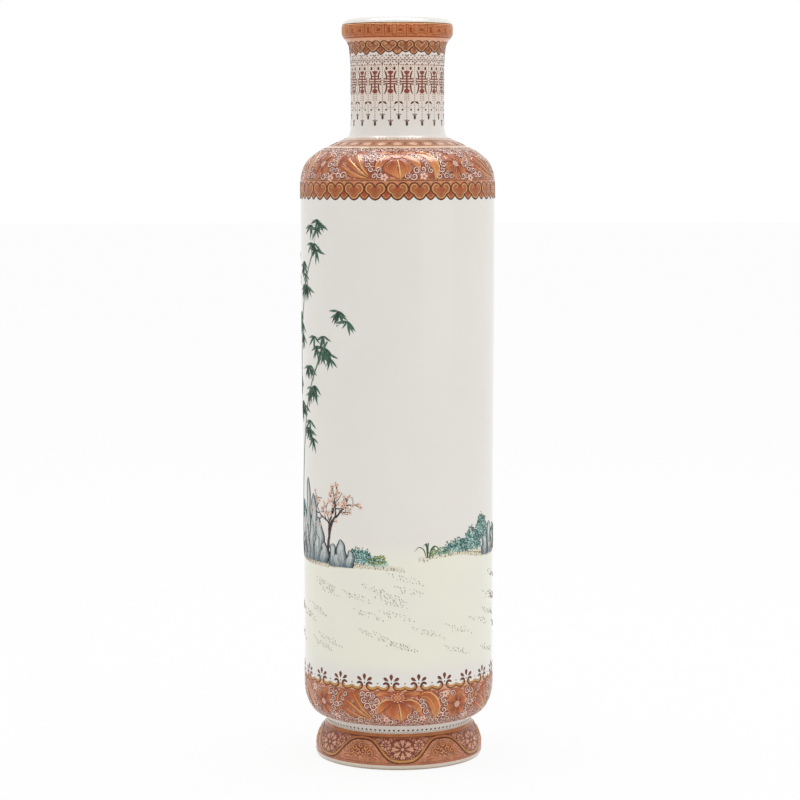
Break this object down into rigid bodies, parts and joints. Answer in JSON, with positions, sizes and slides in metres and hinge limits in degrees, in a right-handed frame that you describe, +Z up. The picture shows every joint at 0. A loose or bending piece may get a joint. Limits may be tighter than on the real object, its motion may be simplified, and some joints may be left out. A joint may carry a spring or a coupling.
{
  "type": "cylindrical porcelain vase",
  "caption": "Tall straight-sided porcelain vase with a rounded shoulder, narrow neck, rolled rim and splayed foot ring, painted in enamels.",
  "frame": {"origin": "middle of the standing face, on the vase's axis", "axes": "+Z up along the vase's axis, -Y towards the viewer of the picture's side"},
  "size_m": [0.079, 0.079, 0.3],
  "materials": {
    "white_glaze": "warm white glossy glaze",
    "iron_red_enamel": "mottled iron-red enamel over the glaze",
    "rim_enamel": "iron-red enamel with gilt lines",
    "foot_enamel": "orange and iron-red enamel",
    "ochre_enamel": "glossy raised enamel",
    "brown_enamel": "dark outline enamel",
    "pale_enamel": "pale pink-white enamel",
    "turquoise_enamel": "thick glossy enamel",
    "green_enamel": "thick glossy enamel",
    "gilding": "burnished gilt lines",
    "bare_porcelain": "unglazed foot rim, matte"
  },
  "bodies": {
    "root": {"foot_ring": "foot_enamel", "base_bowl": "iron_red_enamel", "lower_cylinder": "white_glaze", "upper_cylinder": "white_glaze", "shoulder": "iron_red_enamel", "neck": "white_glaze", "mouth_rim": "rim_enamel"}
  },
  "joints": []
}
